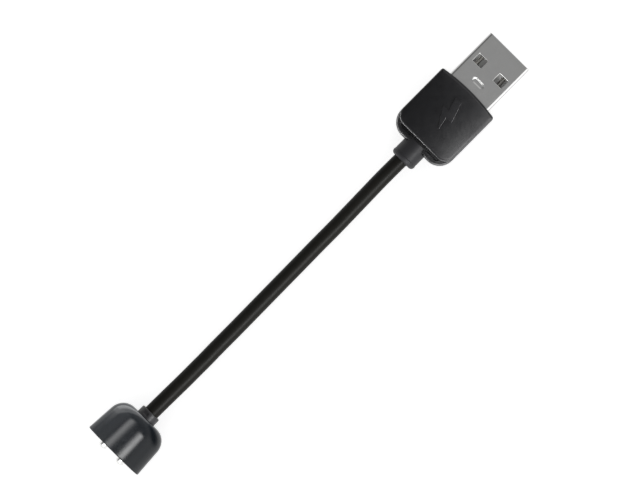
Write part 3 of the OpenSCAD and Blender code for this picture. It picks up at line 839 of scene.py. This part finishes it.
def make_usb_shell(materials):
    """A folded sheet with a seam below, two windows above and below, and a dimple on top."""
    half_w, half_h = SHELL_HIGH.y, (SHELL_HIGH.z - SHELL_LOW.z) / 2
    flat = half_w - SHELL_CORNER_R
    window_x = (TIP - WINDOW_FROM_TIP - WINDOW_L, TIP - WINDOW_FROM_TIP)
    window_y = (WINDOW_Y - WINDOW_W / 2, WINDOW_Y + WINDOW_W / 2)
    emboss_x, emboss_y = TIP - EMBOSS_FROM_TIP, EMBOSS_SIZE[1] / 2
    reach = EMBOSS_SIZE[0] / 2 + FINE

    # The sheet's grid is fine at the dimple, and has lines along the windows' edges
    xs = [
        *steps_between(SHELL_LOW.x, emboss_x - reach, 1.2 * MM),
        *steps_between(emboss_x - reach, emboss_x + reach, FINE),
        *steps_between(emboss_x + reach, window_x[0], 1 * MM), *steps_between(*window_x, 0.55 * MM),
        *steps_between(window_x[1], TIP, 1 * MM), TIP,
    ]
    ys = [
        *steps_between(SEAM / 2, emboss_y - EMBOSS_SIZE[0] / 2, 0.45 * MM),
        *steps_between(emboss_y - EMBOSS_SIZE[0] / 2, emboss_y, FINE),
        *steps_between(emboss_y, window_y[0], 0.3 * MM), *steps_between(*window_y, 0.5 * MM),
        *steps_between(window_y[1], flat, 0.4 * MM), flat,
    ]
    corner = arc((flat, half_h - SHELL_CORNER_R), SHELL_CORNER_R, 0, 90, 6)
    below = [(y, -half_h) for y in ys] + [(u, -v) for u, v in reversed(corner[1:-1])]
    above = [*corner[1:-1], *[(y, half_h) for y in reversed(ys)]]
    side = below + [(half_w, -half_h + SHELL_CORNER_R), (half_w, half_h - SHELL_CORNER_R)] + above
    around = side + [(-u, v) for u, v in reversed(side)]
    on_face = half_h - 1e-9
    points = [
        (x, u, AXIS_Z + v - (emboss_depth(x, u) if v > on_face else 0)) for x in xs for u, v in around
    ]

    def in_window(i, j):
        x = (xs[i] + xs[i + 1]) / 2
        u, v = ((a + b) / 2 for a, b in zip(around[j], around[j + 1]))
        return window_x[0] < x < window_x[1] and window_y[0] < abs(u) < window_y[1] and abs(v) > on_face

    def off_dimple(p):
        return p.z < AXIS_Z or abs(p.x - emboss_x) > reach or abs(p.y) > emboss_y + FINE

    n = len(around)
    faces = [
        (i * n + j, (i + 1) * n + j, (i + 1) * n + j + 1, i * n + j + 1)
        for i in range(len(xs) - 1)
        for j in range(n - 1)
        if not in_window(i, j)
    ]
    mesh = bpy.data.meshes.new("usb_shell")
    mesh.from_pydata(points, [], faces)
    shell = mesh_object("usb_shell.folded", mesh)
    sheet = shell.modifiers.new("sheet", "SOLIDIFY")
    sheet.thickness = SHELL_T
    sheet.offset = -1
    sheet.use_even_offset = True
    shell = apply_modifiers(shell)
    bevelled_where(shell, 0.13 * MM, off_dimple)
    dress(shell, materials["usb_steel"], replaces=["usb_shell"])


def make_insulator(materials):
    """The moulded block that fills the shell's rear, and its tongue with a groove for each contact."""
    low, high = TONGUE_LOW, TONGUE_HIGH
    block_end, tongue_top = low.x + 6.2 * MM, AXIS_Z
    outline = rounded([
        (low.x, low.z, 0), (high.x, low.z, 0.25 * MM), (high.x, tongue_top, 0.3 * MM),
        (block_end, tongue_top, 0.15 * MM), (block_end, high.z, 0.1 * MM), (low.x, high.z, 0),
    ], steps=4)
    moulding = bevelled(prism("usb_tongue", outline, low.y, high.y, crosswise), 0.2 * MM, 3, angle=50)
    moulding = apply_modifiers(moulding)
    gap, lap = 0.03 * MM, 0.02 * MM
    grooves = []
    for node in CONTACTS:
        a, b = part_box(node)
        start, end, top = low.x - MM, b.x + gap, b.z - lap
        corners = [(start, a.z), (end, a.z), (end, top), (start, top)]
        grooves.append(prism("groove", corners, a.y - gap, b.y + gap, crosswise))
    moulding = cut(moulding, *grooves)
    dress(moulding, materials["insulator"], replaces=["usb_insulator"])


def make_contact(node, materials):
    """A stamped strip with a cambered top, and its front end bent down into the tongue."""
    low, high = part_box(node)
    camber, nose, nose_drop, steps = 0.17 * MM, 0.4 * MM, 0.1 * MM, 10
    half, middle = (high.y - low.y) / 2, (high.y + low.y) / 2

    def ring(x, drop):
        tops = [
            (x, middle + half * t, high.z - drop - camber * t ** 2)
            for t in (1 - 2 * i / steps for i in range(steps + 1))
        ]
        return [(x, middle - half, low.z), (x, middle + half, low.z), *tops]

    rings = [ring(low.x, 0)]
    rings += [ring(high.x - nose + nose * t, nose_drop * t ** 2) for t in (0, 0.25, 0.5, 0.75, 1)]
    strip = skin(f"{node}.strip", rings)
    dress(strip, materials["contact_plate"], replaces=[node])


# ---------- CAD nodes that stay ----------

def dress_kept_nodes(materials):
    """Gives each node in KEPT a better material."""
    for node, slot in KEPT.items():
        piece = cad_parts[node]
        piece.data.materials.clear()
        piece.data.materials.append(materials[slot])


# ---------- Stage and light ----------

def make_floor():
    """A plain white floor that glows a little, so that shadows on it stay faint."""
    mesh = bpy.data.meshes.new("floor")
    work = bmesh.new()
    bmesh.ops.create_circle(work, cap_ends=True, radius=3, segments=96)
    work.to_mesh(mesh)
    work.free()
    floor = add_object("floor", mesh)
    floor.location.z = -0.02 * MM
    material = bpy.data.materials.new("floor_white")
    material.use_nodes = True
    shader = material.node_tree.nodes["Principled BSDF"]
    shader.inputs["Base Color"].default_value = (0.8, 0.8, 0.8, 1)
    shader.inputs["Roughness"].default_value = 1
    shader.inputs["Specular IOR Level"].default_value = 0
    shader.inputs["Emission Color"].default_value = (1, 1, 1, 1)
    shader.inputs["Emission Strength"].default_value = 0.75
    mesh.materials.append(material)


def make_world():
    """A white horizon that darkens overhead, with a few soft darker patches."""
    world = bpy.data.worlds.new("studio")
    bpy.context.scene.world = world
    world.use_nodes = True
    nodes, link = world.node_tree.nodes, world.node_tree.links.new
    background = nodes["Background"]
    coords = nodes.new("ShaderNodeTexCoord")
    parts = nodes.new("ShaderNodeSeparateXYZ")
    link(coords.outputs["Generated"], parts.inputs[0])
    fall = nodes.new("ShaderNodeMapRange")
    fall.interpolation_type = "SMOOTHSTEP"
    fall.inputs["From Min"].default_value = 0.1
    fall.inputs["From Max"].default_value = 0.6
    fall.inputs["To Min"].default_value = 1.2
    fall.inputs["To Max"].default_value = 0.6
    link(parts.outputs["Z"], fall.inputs["Value"])
    total = fall.outputs["Result"]
    patches = [
        # direction, full inside and nothing outside these angles in degrees, strength
        (Vector((0, 0, 1)), 6, 36, -0.42),
        (Vector((0.25, 1, 0.55)), 10, 50, -0.45),
        (Vector((0.8, -0.8, 0.35)), 15, 45, -0.75),
    ]
    for towards, inner, outer, strength in patches:
        dot = nodes.new("ShaderNodeVectorMath")
        dot.operation = "DOT_PRODUCT"
        dot.inputs[1].default_value = towards.normalized()
        link(coords.outputs["Generated"], dot.inputs[0])
        ramp = nodes.new("ShaderNodeMapRange")
        ramp.interpolation_type = "SMOOTHSTEP"
        ramp.inputs["From Min"].default_value = math.cos(math.radians(outer))
        ramp.inputs["From Max"].default_value = math.cos(math.radians(inner))
        ramp.inputs["To Max"].default_value = strength
        link(dot.outputs["Value"], ramp.inputs["Value"])
        add = nodes.new("ShaderNodeMath")
        add.operation = "ADD"
        link(total, add.inputs[0])
        link(ramp.outputs["Result"], add.inputs[1])
        total = add.outputs[0]
    positive = nodes.new("ShaderNodeMath")
    positive.operation = "MAXIMUM"
    positive.inputs[1].default_value = 0.02
    link(total, positive.inputs[0])
    link(positive.outputs[0], background.inputs["Strength"])
    background.inputs["Color"].default_value = (1, 1, 1, 1)


def area_light(name, place, aim, size, radiance, lit):
    """A soft rectangular light on some of the pieces, its long side as near X as its aim allows."""
    data = bpy.data.lights.new(name, "AREA")
    data.shape = "RECTANGLE"
    data.size, data.size_y = (s * MM for s in size)
    data.energy = radiance * data.size * data.size_y * math.pi
    light = add_object(name, data)
    place, aim = Vector(place) * MM, Vector(aim) * MM
    look = (aim - place).normalized()
    along = Vector((1, 0, 0)) if abs(look.x) < 0.9 else Vector((0, 1, 0))
    along = (along - look * along.dot(look)).normalized()
    light.matrix_world = (
        Matrix.Translation(place) @ Matrix((along, look.cross(along) * -1, -look)).transposed().to_4x4()
    )
    light.visible_camera = False
    receivers = bpy.data.collections.new(f"{name}_receivers")
    for piece in lit:
        receivers.objects.link(piece)
    light.light_linking.receiver_collection = receivers


def make_lights():
    """Small lights close by, each for a few of the pieces. Their places and sizes are in millimetres.

    No two lie at exactly the same place, because one would hide the other.
    """
    def pieces(*starts):
        objects = [o for o in bpy.context.scene.objects if o.type in ("MESH", "CURVE")]
        return [o for o in objects if o.name.startswith(starts)]

    dock, pins, shell = pieces("dock_shell"), pieces("pin_tip"), pieces("usb_")
    cable, reliefs = pieces("cable"), pieces("dock_collar", "plug_sleeve")
    grip = pieces("grip_")
    for end, y, radiance in ((-39, 14, 2.2), (-51, -14, 4.5)):
        for name, start, width, z in (("dock_strip", -72, 7, 67), ("dock_strip_edge", -79, 15, 68)):
            x = (start + end) / 2
            area_light(name, (x, y, z), (x, y, 0), (end - start, width), radiance, dock)
    area_light("dock_side_a", (-58, 50, 50), (-58, 4, 5), (60, 60), 0.5, dock)
    area_light("dock_side_b", (-62, -50, 50), (-60, -4, 5), (50, 60), 0.25, dock)
    area_light("shoulder_light", (-37, 17, 6), (-54, 3, 5), (34, 16), 2, dock)
    area_light("shoulder_light_edge", (-36, 18, 6), (-54, 3, 5), (60, 50), 2, dock)
    area_light("pin_light", (-68, -12, 40), (-63, 0, 4), (40, 50), 2.4, pins)
    area_light("cable_strip", (-10, -40, 44), (-10, 0, 3), (110, 18), 15.5, cable)
    area_light("relief_strip", (-10, -41, 45), (-10, 0, 3), (110, 18), 9, reliefs)
    area_light("grip_light", (37, -17, 29), (37, -17, 0), (16, 18), 8.6, grip)
    area_light("grip_front_light", (56, -18, 29), (56, -18, 0), (16, 20), 6.5, grip)
    area_light("grip_nose_light", (62, 4, 29), (62, 4, 0), (16, 24), 1, grip)
    area_light("relief_light", (42, -40, 15), (42, 0, 8), (50, 16), 8, grip)
    area_light("bolt_light", (42, -30, 12), (42, 0, 8), (40, 12), 30, pieces("grip_relief"))
    area_light("edge_light", (10, 3.5, 6.6), (34, 3.5, 6.6), (16, 1.8), 60, grip)
    area_light("corner_light_a", (14, 26, 4), (35, 5, 4), (30, 7), 14, grip)
    area_light("corner_light_b", (14, -26, 4), (35, -5, 4), (30, 7), 16, grip)
    area_light("shell_top_light", (58, 0, 70), (58, 0, 0), (70, 60), 0.28, shell)
    area_light("shell_side_light", (57, -30, 18), (57, -4, 6), (60, 30), 1.5, shell)
    area_light("glint_light", (38, -18, 32), (56, 0, 6), (16, 16), 7, shell)
    area_light("glint_light_b", (32, -3, 30), (54, 0, 6), (14, 12), 4.5, shell)


# ---------- Build ----------

make_camera()
materials = make_materials()
make_cable(materials)
make_floor()
make_world()
bpy.context.scene.view_settings.view_transform = "Standard"

make_dock_shell(materials)
make_face_plate(materials)
for pin_name, pin_side in SIDES.items():
    make_barrel(pin_name, pin_side, materials)
    make_plunger(pin_name, pin_side, materials)
    make_spring(pin_name, pin_side, materials)
make_collar(materials)
make_lower_cover(materials)
make_upper_cover(materials)
make_relief(materials)
make_sleeve(materials)
make_usb_shell(materials)
make_insulator(materials)
for contact_node in CONTACTS:
    make_contact(contact_node, materials)
dress_kept_nodes(materials)
make_lights()
